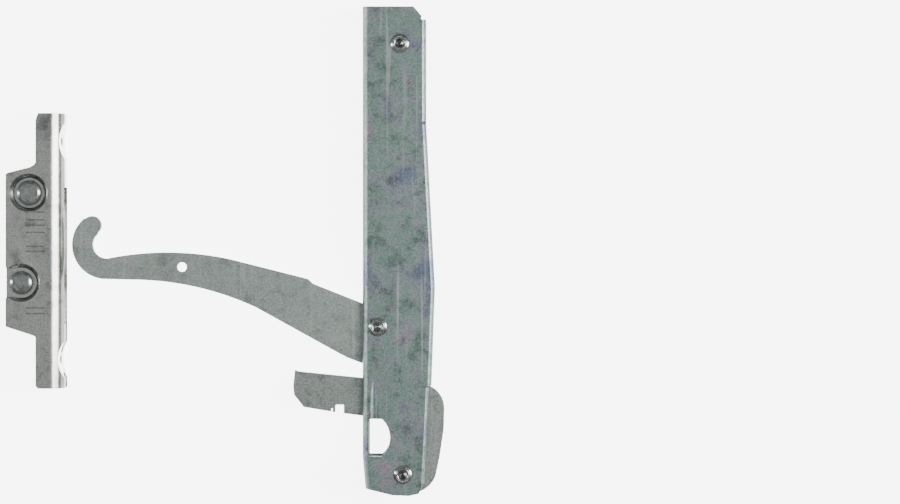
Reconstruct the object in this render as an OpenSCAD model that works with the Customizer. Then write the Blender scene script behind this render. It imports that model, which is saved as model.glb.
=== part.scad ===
// Oven door hinge with its catch bracket, laid on its side.
// Every size is measured from the door pivot: X away from the oven, Y up the door, Z along the rivets.
// The finished set is then moved so that its footprint is centred on the origin and it rests on Z = 0.

/* [Door channel] */
// Height of the channel's top end above the door pivot
channel_top = 228.8; // [215:0.2:240]
// Distance from the door pivot to the outer face of the web
web_x = 19.75; // [19:0.05:20.5]
// Outer width of the channel across its flanges
channel_w = 16; // [15.6:0.1:17]
// Sheet thickness of the channel
channel_t = 1.5; // [1.2:0.1:1.6]
// Outer radius of the web bends
web_bend_r = 3.2; // [2.6:0.1:3.6]
// Outer radius of the lip bends
lip_bend_r = 2.4; // [2:0.1:2.8]
// Width of each turned-in lip
lip_w = 4.2; // [3.6:0.1:4.8]
// Reach of the flange beyond the pivot at the top end
flange_top_x = 11.3; // [11:0.1:12]
// Reach of the flange beyond the pivot at its widest place
flange_belly_x = 15.6; // [15:0.1:16.4]
// Width of the slot that the arm and the claw swing through
web_slot_w = 5; // [4.4:0.1:6]
// Radius of the two door fixing holes in the web
door_hole_r = 2.15; // [1.6:0.05:2.6]
// Distance between the two door fixing holes
door_hole_gap = 57; // [50:1:60]

/* [Hook arm and claw lever] */
// Thickness of the arm and of the lever
plate_t = 3; // [2.5:0.1:3.2]
// Inner radius of the hook
hook_in_r = 6.8; // [6:0.1:7.4]
// Width of the hook's band
hook_band = 10.2; // [9:0.1:11]
// Radius of the locking pin hole
lock_hole_r = 2.35; // [2:0.05:2.6]
// Width of the notch in the claw
notch_w = 4.2; // [3.8:0.1:4.6]

/* [Rivets] */
// Shank radius of the arm pivot and the anchor rivet
rivet_r = 3; // [2.5:0.1:3.2]
// Shank radius of the door pivot rivet
door_rivet_r = 3.5; // [3:0.1:3.8]
// Radius of the rivet heads
head_r = 4.4; // [4.2:0.1:4.8]
// Height of the rivet heads
head_h = 1.2; // [1:0.1:1.2]
// Radial clearance of everything that turns on a pin
run_gap = 0.05; // [0.03:0.01:0.08]

/* [Balance spring] */
// Outer diameter of the spring
spring_d = 12.4; // [11.6:0.1:12.6]
// Wire diameter
wire_d = 1.8; // [1.5:0.1:2]
// Number of turns
turns = 22; // [18:1:25]
// Diameter of the spring rod
rod_d = 5; // [4.6:0.1:5]

/* [Catch bracket] */
// Overall length of the bracket
catch_len = 134.5; // [130:0.5:138]
// Outer width of the bracket across its ears
catch_w = 18.4; // [18:0.1:18.4]
// Sheet thickness of the bracket
catch_t = 2; // [1.8:0.1:2.1]
// Outer radius of its bends
catch_bend_r = 7.3; // [6.8:0.1:7.6]
// Depth from the web to the edge of the ears
ear_depth = 27.9; // [27:0.1:29]
// Depth of the pressed dishes around the rivets
dish_h = 2; // [1.8:0.1:2]
// Radius of the catch roller
roller_r = 5; // [4.5:0.1:5.2]
// Radius of the two fixing holes
catch_hole_r = 2.2; // [1.8:0.1:2.4]

/* [Hidden] */
$fn = 64;

eps = 0.01;
cut = 60;
slide_gap = 0.1;
half_w = channel_w / 2;
inner_w = half_w - channel_t;
half_t = plate_t / 2;
rest_h = half_w + head_h;

// Pivots and pins
arm_pivot = [-12.2, 72.2];
link_reach = 15;
arm_swing = 66;
link_pin_at = arm_pivot + link_reach * [cos(arm_swing / 2), -sin(arm_swing / 2)];
anchor_at = [-1.5, 210.7];

// Channel
channel_bottom = -10.4;
lip_end_y = 43.4;
lower_bend_r = 1.9;
belly_y = 91.2;
window_y = [9, 27.2];
slot_top_y = 83.7;
door_hole_y = 200;

// Spring and rod
rod_shift = link_reach * (1 - cos(arm_swing / 2));
rod_stroke = 2 * link_reach * sin(arm_swing / 2);
spring_x = link_pin_at.x + rod_shift / 2;
rod_r = rod_d / 2;
fork_w = 9;
fork_slot_top = 12.5;
fork_top = 19;
nut_h = 3.2;
collar_t = 2;
washer_t = 1.2;
stirrup_y = 179;
stirrup_t = 2.5;
rod_top = link_pin_at.y + 124.5;
spring_low = link_pin_at.y + fork_top + nut_h + collar_t;
spring_high = stirrup_y - washer_t;
link_pin_r = 2;

// Catch bracket
catch_web_x = -165.9;
catch_top = 176.6;
ear_x = catch_web_x - ear_depth;
tab_x = -179.2;
upper_pin = [-182.6, 137.7];
lower_pin = [-186.4, 93.8];
catch_slot_y = [73.7, 140.5];
catch_slot_w = 8;
waists = [[163.2, 2.2], [56.1, 2.7]];
waist_half = 9;
ear_in = catch_w / 2 - catch_t;
dish_in = ear_in - dish_h;
dish_rim_r = 9.4;
dish_floor_r = 7.4;
upper_shank_r = 3;
lower_shank_r = 2.5;

// Footprint
hook_c = [-145.85, 112.4];
hook_sweep_r = norm(hook_c - arm_pivot) + hook_in_r + hook_band + 0.3;
claw_corner_c = [8.2, 32];
claw_corner_r = 12;
box_x = [ear_x, claw_corner_c.x + claw_corner_r];
box_y = [channel_bottom, channel_top];

function arc(c, r, a0, a1, n = 16) = [for (i = [0:n]) c + r * [cos(a0 + (a1 - a0) * i / n), sin(a0 + (a1 - a0) * i / n)]];

// One closed skin through a list of stations, each a ring of 3-D points running the same way.
module loft(rings) {
    m = len(rings[0]);
    n = len(rings);
    sides = [
        for (k = [0:n - 2], i = [0:m - 1]) let (j = (i + 1) % m)
            each [[k * m + i, k * m + j, (k + 1) * m + j], [k * m + i, (k + 1) * m + j, (k + 1) * m + i]]
    ];
    ends = [[for (i = [m - 1:-1:0]) i], [for (i = [0:m - 1]) (n - 1) * m + i]];
    polyhedron(points = [for (ring = rings) each ring], faces = concat(sides, ends), convexity = 8);
}

module flat(pts, t) {
    translate([0, 0, -t / 2]) linear_extrude(t) polygon(pts);
}

module pin(at, r, h) {
    translate([at.x, at.y, -h / 2]) cylinder(r = r, h = h);
}

module placed() {
    translate([-(box_x[0] + box_x[1]) / 2, -(box_y[0] + box_y[1]) / 2, rest_h]) children();
}

// ---- Door channel ----

relief = 0.8;
upper_edge = [[flange_belly_x - 1.7, lip_end_y], [flange_belly_x, belly_y], [flange_top_x, 172], [flange_top_x, channel_top]];
lower_edge = [[10.4, -4.6], [12.7, lip_end_y - relief]];
web_corner = [-web_x, 9];
web_foot = [-18.4, -6.8];

// Unit vector across the edge from p to q, pointing to the right of the walk
function across(p, q) = let (d = (q - p) / norm(q - p)) [d.y, -d.x];

// Takes the corner off both flanges along an edge; e0 and e1 are how far it runs past p and q.
module round_off(p, q, r, e0, e1) {
    n = across(p, q);
    translate([p.x, p.y, 0]) rotate([0, 0, atan2(n.y, n.x)]) translate([0, -e0, 0]) rotate([-90, 0, 0])
        linear_extrude(norm(q - p) + e0 + e1) for (side = [0, 1]) mirror([0, side]) difference() {
            translate([-r, half_w - r]) square([r + 3, r + 3]);
            translate([-r, half_w - r]) circle(r = 1.03 * r, $fn = 96);
        }
}

module channel_skin() {
    t = channel_t;
    difference() {
        translate([0, 0, -half_w]) linear_extrude(channel_w) polygon(concat(
            [[-web_x, channel_top], web_corner, web_foot, [-5, -10.1], [2.9, channel_bottom], [7.6, -9.4]],
            lower_edge, [[9.4, lip_end_y - relief], [9.4, lip_end_y]], upper_edge
        ));
        translate([0, 0, -inner_w]) linear_extrude(2 * inner_w) polygon(concat(
            [[t - web_x, channel_top + 5], web_corner + [t, 0], web_foot + [t, 0], web_foot + [t + 0.3, -9], [9, -16]],
            [for (p = lower_edge) p - [t, 0]], [[12, lip_end_y - relief + eps], [12, lip_end_y - eps]],
            [for (p = upper_edge) p - [t, 0]], [[flange_top_x - t, channel_top + 5]]
        ));
        // Open fronts between the turned-in lips
        translate([8, lip_end_y - relief / 2, lip_w - half_w]) cube([20, 200, 2 * (half_w - lip_w)]);
        translate([5, -30, 2.6 - half_w]) cube([20, 30 + lip_end_y - relief / 2, 2 * (half_w - 2.6)]);
        // Bends
        round_off([-web_x, channel_top], web_corner, web_bend_r, 5, 0.05);
        round_off(web_corner, web_foot, web_bend_r, 0.05, 5);
        for (i = [0:2]) round_off(upper_edge[i], upper_edge[i + 1], lip_bend_r + [0, 0.03, 0.06][i],
            [0.2, 2.2, -0.5][i], [2.1, -0.6, 5][i]);
        round_off(lower_edge[0], lower_edge[1], lower_bend_r, 3, 0.2);
    }
}

module top_corner_cut() {
    // Chamfer and relief notch at the top corner
    linear_extrude(cut, center = true) polygon([
        [5.1, channel_top + 1], [5.1, channel_top], [flange_top_x - 2.2, channel_top - 4.6],
        [flange_top_x - 2.6, channel_top - 6.6], [flange_top_x + 5, channel_top - 5.6], [30, channel_top + 1]
    ]);
}

module corner_windows() {
    mid = (window_y[0] + window_y[1]) / 2;
    intersection() {
        translate([-18.7, mid, -cut / 2]) cylinder(r = 12.4, h = cut);
        translate([-16.7, window_y[0], -cut / 2]) cube([25, window_y[1] - window_y[0], cut]);
    }
}

// A flare that opens down the corner bends and ends at the window.
module corner_flare(side) {
    translate([-14.2, window_y[1] - 1, side * (half_w + 1.7)]) rotate([-90, 0, 0]) cylinder(r1 = 3, r2 = 1.6, h = 23);
}

module web_slot() {
    translate([-web_x - 5, channel_bottom - 5, -web_slot_w / 2])
        cube([5 + channel_t + 2, slot_top_y - channel_bottom + 5, web_slot_w]);
}

module door_holes() {
    for (i = [0, 1]) translate([-web_x - 5, door_hole_y - i * door_hole_gap, 0])
        rotate([0, 90, 0]) cylinder(r = door_hole_r, h = 10);
}

module rivet_holes() {
    pin(arm_pivot, rivet_r, cut);
    pin(anchor_at, rivet_r, cut);
    pin([0, 0], door_rivet_r, cut);
}

// The sheet first, then one set of cuts after another
module trimmed_channel() {
    difference() {
        difference() {
            difference() {
                channel_skin();
                top_corner_cut();
            }
            corner_windows();
        }
        for (side = [-1, 1]) corner_flare(side);
    }
}

module door_channel() {
    color([0.55, 0.6, 0.6]) difference() {
        difference() {
            difference() {
                trimmed_channel();
                web_slot();
            }
            door_holes();
        }
        rivet_holes();
    }
}

// ---- Hook arm ----
function hook_outline() = let (mid_r = hook_in_r + hook_band / 2, tip_a = 127, tip = hook_c + mid_r * [cos(tip_a), sin(tip_a)])
    concat(
        arc(hook_c, hook_in_r, 270, 131, 16),
        arc(tip, hook_band / 2 - 0.5, -50, 128, 12),
        arc(hook_c, hook_in_r + hook_band, 132, 262, 24)
    );

module hook_arm() {
    edge_r = 146.3;
    color([0.6, 0.65, 0.62]) difference() {
        flat(concat(
            hook_outline(),
            arc([-134.1, -51.1], edge_r, 90, 65, 12),
            [[-32.3, 59.4], [-27.5, 56.9], [-20.7, 54.3], [-13, 53.4]],
            arc(link_pin_at, 6, -88, 50.7, 12),
            arc(arm_pivot, 7.65, 50.7, 68.3, 4),
            [[-44.3, 93.2], [-46.8, 95.5], [-49.7, 96.3]],
            arc([-116.1, -37.7], edge_r, 77.9, 101, 12)
        ), plate_t);
        pin(arm_pivot, rivet_r + run_gap, cut);
        pin(link_pin_at, link_pin_r + run_gap, cut);
        pin([-108.8, 101.4], lock_hole_r, cut);
    }
}

// ---- Claw lever ----
module claw_lever() {
    top_slope = -0.093;
    notch_x = -33.4;
    function top_y(x) = 43.9 + 0.1 * (12 - x) - 0.15;
    function low_y(x) = 28.3 - 0.128 * (x + 20);
    color([0.5, 0.56, 0.52]) difference() {
        flat(concat(
            arc([0, 0], 10.3, 160, 290, 12),
            arc([4, 3], 12.6, 290, 352, 8),
            [[17.9, 8], [20, 22]],
            arc(claw_corner_c, claw_corner_r, 0, 84, 10),
            [[-51.3, top_y(-51.3)], [-53.2, 50.8], [-54.1, 43.4], [-53.7, 38.7], [-48.9, 32.6], [notch_x, low_y(notch_x)]],
            [[notch_x, 33.2], [notch_x + 0.5, 33.7], [notch_x + notch_w, 33.7], [notch_x + notch_w, low_y(notch_x + notch_w)]],
            [[-10.2, low_y(-10.2)], [-6.2, 24.4], [-5.4, 15]]
        ), plate_t);
        pin([0, 0], door_rivet_r + run_gap, cut);
        // Nick beside the notch
        translate([notch_x - 1.9, 30, 0]) rotate([0, 0, -12]) cube([0.8, 4, cut], center = true);
    }
}

// ---- Rivets ----

// A rivet through both flanges: a rolled hollow head on the near side, a low dome on the far side.
module rivet(at, shank_r) {
    hole_r = 1.95;
    rim_r = (head_r + hole_r) / 2 - 0.35;
    translate([at.x, at.y, 0]) rotate_extrude() polygon(concat(
        [[0, -half_w - head_h]], [[head_r * 0.55, -half_w - head_h]],
        arc([head_r - head_h, -half_w], head_h, 285, 360, 8),
        [[shank_r, -half_w], [shank_r, half_w], [head_r, half_w], [head_r, half_w + 0.35]],
        arc([rim_r, half_w + 0.45], head_h - 0.45, 30, 150, 10),
        [[hole_r, half_w + 0.3], [hole_r - 0.3, half_w - 2.2], [0, half_w - 3.2]]
    ));
}

module arm_pivot_rivet() { color("silver") rivet(arm_pivot, rivet_r); }
module door_pivot_rivet() { color("silver") rivet([0, 0], door_rivet_r); }
module anchor_rivet() { color("silver") rivet(anchor_at, rivet_r); }

// ---- Spacers ----
module tube(at, r_out, r_in, z0, z1) {
    translate([at.x, at.y, z0]) difference() {
        cylinder(r = r_out, h = z1 - z0);
        translate([0, 0, -1]) cylinder(r = r_in, h = z1 - z0 + 2);
    }
}

module spacer_pair(at, r_out, r_in) {
    for (side = [0, 1]) mirror([0, 0, side]) tube(at, r_out, r_in, half_t + slide_gap, inner_w);
}

module arm_spacers() { color("gainsboro") spacer_pair(arm_pivot, 5, rivet_r); }
module lever_spacers() { color("gainsboro") spacer_pair([0, 0], 6, door_rivet_r); }
module anchor_spacer() { color("gainsboro") tube(anchor_at, 4, rivet_r, -4.9, 4.9); }

// ---- Spring, rod and their seats ----
module spring_stirrup() {
    cheek_in = 5;
    cheek_out = inner_w - slide_gap;
    seat_x = [spring_x - 6.2, spring_x + 6.2];
    color("darkgray") difference() {
        union() {
            translate([seat_x[0], stirrup_y, -cheek_out]) cube([seat_x[1] - seat_x[0], stirrup_t, 2 * cheek_out]);
            for (side = [-1, 1]) translate([0, 0, side * (cheek_in + cheek_out) / 2])
                flat(concat([[seat_x[0], stirrup_y], [seat_x[1], stirrup_y], [seat_x[1], stirrup_y + 6]],
                    arc(anchor_at, 5.2, 20, 160, 12), [[seat_x[0], stirrup_y + 6]]), cheek_out - cheek_in);
        }
        pin(anchor_at, rivet_r, cut);
        for (dx = [-rod_shift / 2, rod_shift / 2]) translate([spring_x + dx, stirrup_y - 1, 0])
            rotate([-90, 0, 0]) cylinder(r = rod_r + 0.3, h = stirrup_t + 2);
        translate([spring_x - rod_shift / 2, stirrup_y - 1, -rod_r - 0.3])
            cube([rod_shift, stirrup_t + 2, rod_d + 0.6]);
    }
}

module ring_y(x, y, t, r_out, r_in) {
    translate([x, y, 0]) rotate([-90, 0, 0]) difference() {
        cylinder(r = r_out, h = t);
        translate([0, 0, -1]) cylinder(r = r_in, h = t + 2);
    }
}

module upper_spring_washer() {
    color("lightgray") ring_y(spring_x, stirrup_y - washer_t, washer_t, spring_d / 2, rod_r + rod_shift / 2 + 0.3);
}

module lower_spring_collar() {
    color("lightgray") ring_y(link_pin_at.x, link_pin_at.y + fork_top + nut_h, collar_t, spring_d / 2 - 0.2, rod_r);
}

module rod_lock_nut() {
    color("gray") translate([link_pin_at.x, link_pin_at.y + fork_top, 0]) rotate([-90, 0, 0]) difference() {
        cylinder(r = 4.6, h = nut_h, $fn = 6);
        translate([0, 0, -1]) cylinder(r = rod_r, h = nut_h + 2);
    }
}

module spring_rod() {
    low = link_pin_at.y + fork_slot_top + 1;
    color("silver") translate([link_pin_at.x, low, 0]) rotate([-90, 0, 0]) {
        cylinder(r = rod_r, h = rod_top - low - 1);
        translate([0, 0, rod_top - low - 1]) cylinder(r1 = rod_r, r2 = rod_r - 0.8, h = 1);
    }
}

module rod_fork() {
    x = link_pin_at.x;
    y = link_pin_at.y;
    color("slategray") difference() {
        union() {
            translate([x - fork_w / 2, y, -fork_w / 2]) cube([fork_w, fork_top, fork_w]);
            pin(link_pin_at, fork_w / 2, fork_w);
        }
        translate([x - fork_w, y - fork_w, -half_t - 0.2]) cube([2 * fork_w, fork_w + fork_slot_top, plate_t + 0.4]);
        pin(link_pin_at, link_pin_r, cut);
        translate([x, y + fork_slot_top + 1, 0]) rotate([-90, 0, 0]) cylinder(r = rod_r, h = fork_top);
    }
}

module link_pin() {
    color("silver") {
        pin(link_pin_at, link_pin_r, fork_w);
        translate([link_pin_at.x, link_pin_at.y, fork_w / 2]) cylinder(r = 3.2, h = 1.2);
        translate([link_pin_at.x, link_pin_at.y, -fork_w / 2 - 1.6]) cylinder(r = link_pin_r, h = 1.6);
    }
}

module link_pin_clip() {
    color("dimgray") difference() {
        tube(link_pin_at, 3.6, link_pin_r, -fork_w / 2 - 0.9, -fork_w / 2 - 0.1);
        translate([link_pin_at.x + 2.6, link_pin_at.y, -fork_w / 2]) cube([3, 2.4, 4], center = true);
    }
}

// Height along the spring after a share of its turns, with one closed turn at each end.
function coil_y(turn) = let (closed = wire_d * 1.02, free = (spring_high - spring_low - wire_d - 2 * closed) / (turns - 2))
    turn < 1 ? closed * turn : turn > turns - 1 ? closed + free * (turns - 2) + closed * (turn - turns + 1)
    : closed + free * (turn - 1);

module balance_spring() {
    steps = 14;
    coil_r = (spring_d - wire_d) / 2;
    color("dimgray") loft([
        for (k = [0:turns * steps]) let (a = 360 * k / steps, y = spring_low + wire_d / 2 + coil_y(k / steps))
            [for (b = [0:60:300]) [
                spring_x + (coil_r + wire_d / 2 * cos(b)) * cos(a), y + wire_d / 2 * sin(b),
                (coil_r + wire_d / 2 * cos(b)) * sin(a)
            ]]
    ]);
}

// ---- Catch bracket ----

// Section of the bracket, open towards the oven; grown or shrunk by whole sheet thicknesses.
module catch_section(inset) {
    r = catch_bend_r - inset;
    h = catch_w / 2 - inset;
    x = catch_web_x - inset;
    translate([x - r, r - h]) circle(r = r, $fn = 96);
    translate([x - r, h - r]) circle(r = r, $fn = 96);
    translate([ear_x - 1, -h]) square([x - r - ear_x + 1, 2 * h]);
    translate([x - r, r - h]) square([r, 2 * (h - r)]);
}

module along_y(y0, y1) {
    translate([0, y0, 0]) rotate([-90, 0, 0]) linear_extrude(y1 - y0) children();
}

// Outer radius of the hollow pressed into the web at a waist
function hollow_r(w) = (waist_half * waist_half + w[1] * w[1]) / (2 * w[1]);

module hollow(w, grow) {
    r = hollow_r(w);
    translate([catch_web_x - w[1] + r, w[0], -cut / 2]) cylinder(r = r + grow, h = cut, $fn = 120);
}

module catch_shell() {
    low = catch_top - catch_len;
    difference() {
        along_y(low, catch_top) catch_section(0);
        difference() {
            along_y(low - 1, catch_top + 1) catch_section(catch_t);
            for (w = waists) hollow(w, catch_t);
        }
        for (w = waists) hollow(w, 0);
    }
}

module ear_trim() {
    low = catch_top - catch_len;
    linear_extrude(cut, center = true) polygon([
        [ear_x - 5, 146], [ear_x, 146.6], [ear_x + 0.8, 147.4], [-182, 150.2], [tab_x - 0.8, 151.4],
        [tab_x, 152.6], [tab_x, catch_top - 3.4], [tab_x + 1.2, catch_top], [tab_x + 1.2, catch_top + 5],
        [ear_x - 5, catch_top + 5]
    ]);
    linear_extrude(cut, center = true) polygon([
        [ear_x - 5, 72.4], [ear_x, 72.4], [tab_x - 0.8, 67.9], [tab_x, 67.2], [tab_x, low + 1.2],
        [tab_x + 1.2, low], [tab_x + 1.2, low - 5], [ear_x - 5, low - 5]
    ]);
}

module dish_boss(at) {
    translate([at.x, at.y, dish_in]) cylinder(r1 = dish_floor_r + 0.9, r2 = dish_rim_r + 0.4, h = dish_h + eps);
}

module dish_recess(at) {
    translate([at.x, at.y, ear_in]) cylinder(r1 = dish_floor_r, r2 = dish_rim_r + 0.02, h = dish_h + 0.02);
}

// Short straight press marks on the near ear
module press_marks() {
    for (y = [128, 124.2, 121.5, 118, 111.2, 108.8, 81.2, 78.4])
        translate([-183.8, y, catch_w / 2 - 0.3]) cube([9, 0.7, 1]);
}

module catch_bracket() {
    color([0.62, 0.64, 0.63]) difference() {
        union() {
            catch_shell();
            for (side = [0, 1], at = [upper_pin, lower_pin]) mirror([0, 0, side]) dish_boss(at);
            // The lower dish runs out of the ear's edge
            for (side = [0, 1]) mirror([0, 0, side]) translate([ear_x - 1, lower_pin.y - dish_floor_r - 0.9, dish_in])
                cube([lower_pin.x - ear_x + 1, 2 * dish_floor_r + 1.8, dish_h + eps]);
        }
        for (side = [0, 1], at = [upper_pin, lower_pin]) mirror([0, 0, side]) dish_recess(at);
        for (side = [0, 1]) mirror([0, 0, side])
            translate([ear_x - 5, lower_pin.y - dish_floor_r, ear_in]) cube([lower_pin.x - ear_x + 5, 2 * dish_floor_r, 5]);
        translate([ear_x - 20, 0, -cut / 2]) cube([20, 250, cut]);
        ear_trim();
        translate([catch_web_x - 5, catch_slot_y[0], -catch_slot_w / 2])
            cube([10, catch_slot_y[1] - catch_slot_y[0], catch_slot_w]);
        // Narrow foot of the slot and a shallow groove, clear of the swinging hook
        translate([catch_web_x - 5, 60.8, -2.3]) cube([10, 20, 4.6]);
        pin(arm_pivot, hook_sweep_r, 4.6);
        for (w = waists) translate([catch_web_x - 9, w[0], 0]) rotate([0, 90, 0]) cylinder(r = catch_hole_r, h = 12);
        pin(upper_pin, upper_shank_r, cut);
        pin(lower_pin, lower_shank_r, cut);
        press_marks();
    }
}

// A solid rivet across both ears, its heads sunk in the dishes.
module ear_rivet(at, shank_r, big_r) {
    top = catch_w / 2 - 0.1;
    translate([at.x, at.y, 0]) rotate_extrude() polygon([
        [0, -top], [big_r - 1.4, -top], [big_r - 0.4, -top + 0.5], [big_r, -top + 1.1], [big_r, -ear_in],
        [shank_r, -ear_in], [shank_r, ear_in], [big_r, ear_in], [big_r, top - 1.1], [big_r - 0.4, top - 0.5],
        [big_r - 1.4, top], [0, top]
    ]);
}

module roller_rivet() { color("silver") ear_rivet(upper_pin, upper_shank_r, 5.9); }
module claw_rivet() { color("silver") ear_rivet(lower_pin, lower_shank_r, 5.5); }
module catch_roller() {
    color("gray") tube(upper_pin, roller_r, upper_shank_r + run_gap, -dish_in + slide_gap, dish_in - slide_gap);
}
module claw_bush() {
    color("gray") tube(lower_pin, 4.2, lower_shank_r + run_gap, -dish_in + slide_gap, dish_in - slide_gap);
}

placed() door_channel();
placed() hook_arm();
placed() claw_lever();
placed() arm_pivot_rivet();
placed() door_pivot_rivet();
placed() anchor_rivet();
placed() arm_spacers();
placed() lever_spacers();
placed() anchor_spacer();
placed() spring_stirrup();
placed() upper_spring_washer();
placed() balance_spring();
placed() lower_spring_collar();
placed() rod_lock_nut();
placed() spring_rod();
placed() rod_fork();
placed() link_pin();
placed() link_pin_clip();
placed() catch_bracket();
placed() catch_roller();
placed() roller_rivet();
placed() claw_bush();
placed() claw_rivet();
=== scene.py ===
import math

import bmesh
import bpy
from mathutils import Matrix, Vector


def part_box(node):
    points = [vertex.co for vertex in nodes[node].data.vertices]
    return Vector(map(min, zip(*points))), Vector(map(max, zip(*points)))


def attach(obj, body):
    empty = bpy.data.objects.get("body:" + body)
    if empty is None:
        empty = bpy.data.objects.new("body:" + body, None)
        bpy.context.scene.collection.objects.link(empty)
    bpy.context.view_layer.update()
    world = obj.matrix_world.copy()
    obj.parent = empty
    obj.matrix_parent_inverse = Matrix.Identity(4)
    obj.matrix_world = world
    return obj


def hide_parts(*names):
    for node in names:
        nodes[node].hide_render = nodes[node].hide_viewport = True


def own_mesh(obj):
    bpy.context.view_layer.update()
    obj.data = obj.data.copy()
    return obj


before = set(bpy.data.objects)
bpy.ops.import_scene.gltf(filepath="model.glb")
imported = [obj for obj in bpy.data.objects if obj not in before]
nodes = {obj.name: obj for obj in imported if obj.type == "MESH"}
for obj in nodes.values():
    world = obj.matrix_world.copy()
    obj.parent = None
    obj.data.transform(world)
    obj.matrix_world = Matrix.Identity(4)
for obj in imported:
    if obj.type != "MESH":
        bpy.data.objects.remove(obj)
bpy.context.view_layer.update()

MM = 0.001
DOOR_PIVOT = Vector((86.8, -109.2, 9.2)) * MM
WHITE = (1, 1, 1)
BLACK = (0, 0, 0)


def place(x, y, z=0.0):
    """A point measured from the door pivot, in millimetres, as a point of the row frame."""
    return Vector((x, y, z)) * MM + DOOR_PIVOT


# ---- Materials ----

class Graph:
    """A material's node tree, with one short call for each kind of node."""

    def __init__(self, name):
        self.mat = bpy.data.materials.new(name)
        self.mat.use_nodes = True
        self.tree = self.mat.node_tree
        self.bsdf = self.tree.nodes["Principled BSDF"]
        self.coord = self.add("ShaderNodeTexCoord").outputs["Object"]

    def add(self, kind, **values):
        node = self.tree.nodes.new(kind)
        for key, value in values.items():
            setattr(node, key, value)
        return node

    def link(self, output, socket):
        self.tree.links.new(output, socket)

    def feed(self, socket, value):
        """Links an output, or sets a number or a colour."""
        if isinstance(value, bpy.types.NodeSocket):
            self.link(value, socket)
        elif isinstance(value, (int, float)):
            socket.default_value = value
        else:
            socket.default_value = (*value, 1)

    def scaled(self, x, y, z, turn=0.0):
        mapping = self.add("ShaderNodeMapping")
        mapping.inputs["Scale"].default_value = (x, y, z)
        mapping.inputs["Rotation"].default_value = (0, 0, turn)
        self.link(self.coord, mapping.inputs["Vector"])
        return mapping.outputs["Vector"]

    def noise(self, scale, detail, rough, vector=None):
        node = self.add("ShaderNodeTexNoise")
        node.inputs["Scale"].default_value = scale
        node.inputs["Detail"].default_value = detail
        node.inputs["Roughness"].default_value = rough
        self.link(self.coord if vector is None else vector, node.inputs["Vector"])
        return node.outputs["Fac"]

    def ramp(self, fac, stops):
        node = self.add("ShaderNodeValToRGB")
        elements = node.color_ramp.elements
        while len(elements) < len(stops):
            elements.new(0.5)
        for element, (at, colour) in zip(elements, stops):
            element.position = at
            element.color = (*colour, 1)
        self.link(fac, node.inputs["Fac"])
        return node.outputs["Color"]

    def mix(self, fac, a, b, blend="MIX"):
        node = self.add("ShaderNodeMix", data_type="RGBA", blend_type=blend)
        colours = [socket for socket in node.inputs if socket.type == "RGBA"]
        for socket, value in zip([node.inputs["Factor"]] + colours, (fac, a, b)):
            self.feed(socket, value)
        return [socket for socket in node.outputs if socket.type == "RGBA"][0]

    def multiply(self, colour, by):
        return self.mix(1.0, colour, by, "MULTIPLY")

    def maths(self, operation, a, b=0.0):
        node = self.add("ShaderNodeMath", operation=operation)
        for socket, value in zip(node.inputs, (a, b)):
            self.feed(socket, value)
        return node.outputs[0]

    def roughness(self, fac, low, high):
        level = self.add("ShaderNodeMapRange")
        level.inputs["To Min"].default_value = low
        level.inputs["To Max"].default_value = high
        self.link(fac, level.inputs["Value"])
        self.link(level.outputs["Result"], self.bsdf.inputs["Roughness"])

    def bump(self, height, strength, distance):
        node = self.add("ShaderNodeBump")
        node.inputs["Strength"].default_value = strength
        node.inputs["Distance"].default_value = distance
        self.link(height, node.inputs["Height"])
        self.link(node.outputs["Normal"], self.bsdf.inputs["Normal"])


def clouds(g, base, patches, tint):
    """Faint iridescent patches, a little longer along the part than across it."""
    cloud = g.noise(55, 4, 0.6, g.scaled(1, 0.75, 1))
    first, second, third = patches
    stops = [(0.34, first), (0.45, base), (0.53, second), (0.61, base), (0.7, third)]
    return g.mix(tint, base, g.ramp(cloud, stops))


def scratches(g, colour, strength):
    """Thin light lines in two directions."""
    marks = []
    for turn, across, along in ((0.12, 260, 9), (1.35, 330, 14)):
        streak = g.noise(1.0, 2, 0.5, g.scaled(across, along, 60, turn))
        marks.append(g.ramp(streak, [(0.64, BLACK), (0.7, WHITE)]))
    lines = g.mix(0.5, marks[0], marks[1], "ADD")
    return g.mix(g.maths("MULTIPLY", lines, strength), colour, (0.72, 0.75, 0.74))


def bend_shade(g, colour, low):
    """Painted shade: darkens the plate where its surface is steep to the object's Z axis.

    It stands in for the dark reflections that the photo shows along bends and edges, and was tuned from
    the photo's own direction. A low of 1 leaves the colour nearly as it is.
    """
    split = g.add("ShaderNodeSeparateXYZ")
    g.link(g.add("ShaderNodeTexCoord").outputs["Normal"], split.inputs[0])
    up = g.maths("ABSOLUTE", split.outputs["Z"])
    dark = (low, low, low * 0.95)
    return g.multiply(colour, g.ramp(up, [(0.06, WHITE), (0.25, dark), (0.62, dark), (0.82, WHITE)]))


def painted_cavity_shade(g, colour, distance=1.2 * MM):
    """Painted shade: darkens grooves, dishes and overlaps by their ambient occlusion, so that shallow press
    marks can be seen.
    """
    node = g.add("ShaderNodeAmbientOcclusion", samples=6)
    node.inputs["Distance"].default_value = distance
    return g.multiply(colour, g.ramp(node.outputs["AO"], [(0.45, (0.22, 0.22, 0.21)), (0.93, WHITE)]))


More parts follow.
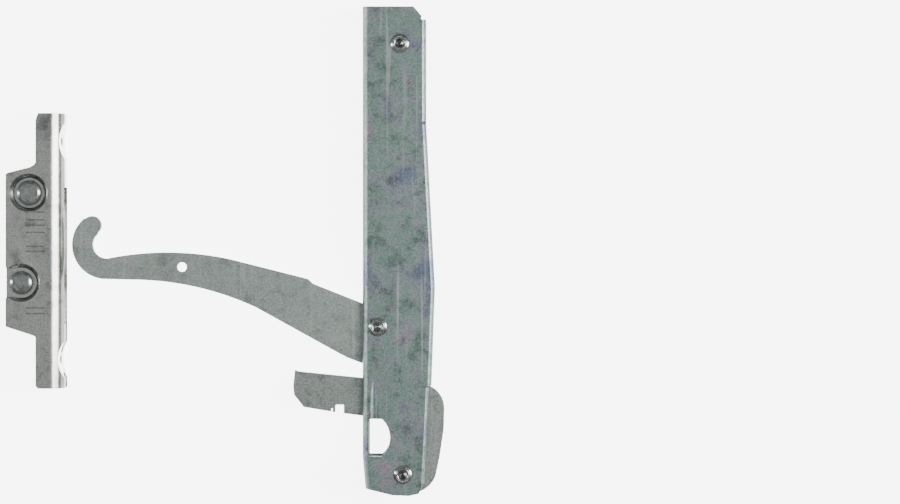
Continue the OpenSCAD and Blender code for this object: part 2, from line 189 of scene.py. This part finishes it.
def plated(name, base, patches, tint, scratch, grain, dark, bend=0.35, rough=(0.3, 0.46), metallic=0.85):
    """Zinc plated sheet: cloudy patches, a fine speckled grain, stains and thin scratches, with painted shade
    along the bends and in grooves, dishes and overlaps.
    """
    g = Graph(name)
    colour = clouds(g, base, patches, tint)
    speck = g.noise(1150, 4, 0.7)
    speckle = g.ramp(speck, [(0.34, (0.4, 0.4, 0.43)), (0.5, WHITE), (0.66, (1.6, 1.6, 1.52))])
    colour = g.mix(grain, colour, g.multiply(colour, speckle))
    stain = g.noise(130, 6, 0.68)
    stains = g.ramp(stain, [(0.33, (dark, dark, dark)), (0.47, WHITE), (1.0, (1.06, 1.06, 1.06))])
    colour = g.mix(0.75, colour, g.multiply(colour, stains))
    # Painted shade on top: darker where the surface is steep to the object's Z axis, and darker in grooves,
    # dishes and overlaps
    colour = painted_cavity_shade(g, bend_shade(g, scratches(g, colour, scratch), bend))
    g.link(colour, g.bsdf.inputs["Base Color"])
    g.bsdf.inputs["Metallic"].default_value = metallic
    g.roughness(stain, *rough)
    height = g.maths("ADD", g.maths("MULTIPLY", speck, 0.5), g.maths("MULTIPLY", stain, 0.9))
    g.bump(height, 0.35, 0.12 * MM)
    return g.mat


def bright_metal(name, base, rough):
    """Turned or rolled bright metal with a little dirt in its speckle."""
    g = Graph(name)
    fine = g.noise(900, 3, 0.6)
    wear = g.noise(260, 5, 0.65)
    dirty = tuple(0.45 * c for c in base)
    worn = tuple(1.15 * c for c in base)
    tone = g.ramp(wear, [(0.35, dirty), (0.5, base), (0.7, worn)])
    shade = g.ramp(fine, [(0.3, (0.75, 0.75, 0.75)), (0.6, (1.05, 1.05, 1.05))])
    g.link(g.multiply(tone, shade), g.bsdf.inputs["Base Color"])
    g.bsdf.inputs["Metallic"].default_value = 1.0
    g.roughness(wear, rough * 0.8, rough * 1.25)
    g.bump(fine, 0.15, 0.05 * MM)
    return g.mat


CHANNEL = plated(
    "channel_plate", (0.275, 0.31, 0.325), [(0.165, 0.195, 0.27), (0.215, 0.315, 0.275), (0.34, 0.295, 0.35)],
    tint=1.0, scratch=0.35, grain=0.55, dark=0.4, bend=0.3)
ARM = plated(
    "arm_plate", (0.405, 0.455, 0.435), [(0.33, 0.385, 0.385), (0.39, 0.46, 0.415), (0.47, 0.48, 0.47)],
    tint=0.7, scratch=0.3, grain=0.45, dark=0.65)
CLAW = plated(
    "claw_plate", (0.345, 0.37, 0.36), [(0.26, 0.28, 0.28), (0.335, 0.385, 0.35), (0.42, 0.41, 0.40)],
    tint=0.85, scratch=0.25, grain=0.55, dark=0.45)
BRACKET = plated(
    "bracket_plate", (0.66, 0.665, 0.64), [(0.48, 0.49, 0.48), (0.66, 0.68, 0.64), (0.84, 0.84, 0.82)],
    tint=0.8, scratch=0.35, grain=0.35, dark=0.5, bend=0.22, rough=(0.17, 0.28), metallic=1.0)
RIVET = bright_metal("rivet_bright", (0.50, 0.52, 0.51), 0.2)
INNER = bright_metal("inner_plated", (0.50, 0.52, 0.50), 0.34)
ROLLER = bright_metal("roller_turned", (0.46, 0.47, 0.47), 0.3)
SPRING = bright_metal("spring_wire", (0.16, 0.165, 0.17), 0.36)

FINISH = {
    "door_channel": CHANNEL, "hook_arm": ARM, "claw_lever": CLAW, "catch_bracket": BRACKET,
    "arm_pivot_rivet": RIVET, "door_pivot_rivet": RIVET, "anchor_rivet": RIVET,
    "roller_rivet": RIVET, "claw_rivet": RIVET, "catch_roller": ROLLER, "claw_bush": ROLLER,
}
for name, node in nodes.items():
    node.data.materials.clear()
    node.data.materials.append(FINISH.get(name, INNER))

# Rounded edges, in millimetres, so that every sheet edge catches the light
EDGE_ROUND = {"door_channel": 0.22, "hook_arm": 0.3, "claw_lever": 0.3, "catch_bracket": 0.3}
for name, width in EDGE_ROUND.items():
    bevel = nodes[name].modifiers.new("edge", "BEVEL")
    bevel.width = width * MM
    bevel.segments = 2
    bevel.limit_method = "ANGLE"
    bevel.angle_limit = math.radians(40)
    bevel.use_clamp_overlap = True
    bevel.harden_normals = False

# ---- Balance spring: a smooth coil in place of the CAD one ----

WIRE = 1.8
COIL_MEAN_R = 5.3
COIL_TURNS = 22
POINTS_PER_TURN = 28
POINTS_ROUND_WIRE = 12


def coil_height(t):
    """Height of the wire after t turns, from the first: one closed turn at each end, open ones between."""
    closed = WIRE * 1.02
    free = (spring_high - spring_low - WIRE - 2 * closed) / (COIL_TURNS - 2)
    if t < 1:
        return closed * t
    if t > COIL_TURNS - 1:
        return closed + free * (COIL_TURNS - 2) + closed * (t - COIL_TURNS + 1)
    return closed + free * (t - 1)


def wire_ring(t):
    """The points round the wire after t turns."""
    turn = 2 * math.pi * t
    y = spring_low + WIRE / 2 + coil_height(t)
    ring = []
    for j in range(POINTS_ROUND_WIRE):
        b = 2 * math.pi * j / POINTS_ROUND_WIRE
        r = COIL_MEAN_R + WIRE / 2 * math.cos(b)
        x = spring_x + r * math.cos(turn)
        ring.append(place(x, y + WIRE / 2 * math.sin(b), r * math.sin(turn)))
    return ring


def coil(name):
    bm = bmesh.new()
    rings = []
    for k in range(COIL_TURNS * POINTS_PER_TURN + 1):
        rings.append([bm.verts.new(point) for point in wire_ring(k / POINTS_PER_TURN)])
    for first, second in zip(rings, rings[1:]):
        for j in range(POINTS_ROUND_WIRE):
            k = (j + 1) % POINTS_ROUND_WIRE
            bm.faces.new((first[j], first[k], second[k], second[j]))
    bm.faces.new(list(reversed(rings[0])))
    bm.faces.new(rings[-1])
    bmesh.ops.recalc_face_normals(bm, faces=bm.faces)
    mesh = bpy.data.meshes.new(name)
    bm.to_mesh(mesh)
    bm.free()
    for face in mesh.polygons:
        face.use_smooth = len(face.vertices) == 4
    thing = bpy.data.objects.new(name, mesh)
    bpy.context.scene.collection.objects.link(thing)
    return thing


low_corner, high_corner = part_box("balance_spring")
spring_low = (low_corner.y - DOOR_PIVOT.y) / MM
spring_high = (high_corner.y - DOOR_PIVOT.y) / MM
spring_x = ((low_corner.x + high_corner.x) / 2 - DOOR_PIVOT.x) / MM
spring = coil("spring_coil")
spring.data.materials.append(SPRING)
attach(spring, "channel")
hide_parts("balance_spring")
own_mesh(spring)

# ---- Floor: self-lit, for the near-white background ----
bpy.ops.mesh.primitive_plane_add(size=6, location=(0.1, 0, -0.4 * MM))
floor = bpy.context.object
floor.name = "floor"
paper = bpy.data.materials.new("paper")
paper.use_nodes = True
shader = paper.node_tree.nodes["Principled BSDF"].inputs
shader["Base Color"].default_value = (0.95, 0.95, 0.95, 1)
shader["Roughness"].default_value = 0.95
shader["Emission Color"].default_value = (1, 1, 1, 1)
shader["Emission Strength"].default_value = 6.0
floor.data.materials.append(paper)

# ---- Light ----

# Colour of the sky by height, from the horizon at 0 to overhead at 1
SKY = [(0.0, (0.62, 0.63, 0.63)), (0.2, (0.11, 0.112, 0.112)), (0.93, (0.36, 0.375, 0.375))]
world = bpy.data.worlds.new("world")
bpy.context.scene.world = world
world.use_nodes = True
tree = world.node_tree
direction = tree.nodes.new("ShaderNodeTexCoord")
split = tree.nodes.new("ShaderNodeSeparateXYZ")
sky = tree.nodes.new("ShaderNodeValToRGB")
tree.links.new(direction.outputs["Generated"], split.inputs[0])
tree.links.new(split.outputs["Z"], sky.inputs["Fac"])
sky.color_ramp.elements.new(0.5)
for element, (height, colour) in zip(sky.color_ramp.elements, SKY):
    element.position = height
    element.color = (*colour, 1)
tree.links.new(sky.outputs["Color"], tree.nodes["Background"].inputs["Color"])
tree.nodes["Background"].inputs["Strength"].default_value = 0.95


def softbox(name, location, target, width, length, power):
    data = bpy.data.lights.new(name, "AREA")
    data.shape = "RECTANGLE"
    data.size = width
    data.size_y = length
    data.energy = power
    light = bpy.data.objects.new(name, data)
    bpy.context.scene.collection.objects.link(light)
    light.location = location
    light.rotation_euler = (Vector(target) - Vector(location)).to_track_quat("-Z", "Y").to_euler()


softbox("key_right", (0.95, 0.1, 0.95), (0.0, 0, 0), width=0.5, length=1.2, power=20)
softbox("left_strip", (-1.05, 0.05, 0.75), (0.05, 0, 0), width=0.14, length=1.1, power=7)

# ---- Camera: straight down, as in the photo ----
lens = bpy.data.cameras.new("camera")
lens.sensor_width = 36
lens.lens = 79.96
lens.clip_start = 0.01
lens.clip_end = 20
camera = bpy.data.objects.new("camera", lens)
bpy.context.scene.collection.objects.link(camera)
camera.location = (0.1098, -0.0004, 0.9934)
camera.rotation_euler = (0, 0, 0)
bpy.context.scene.camera = camera
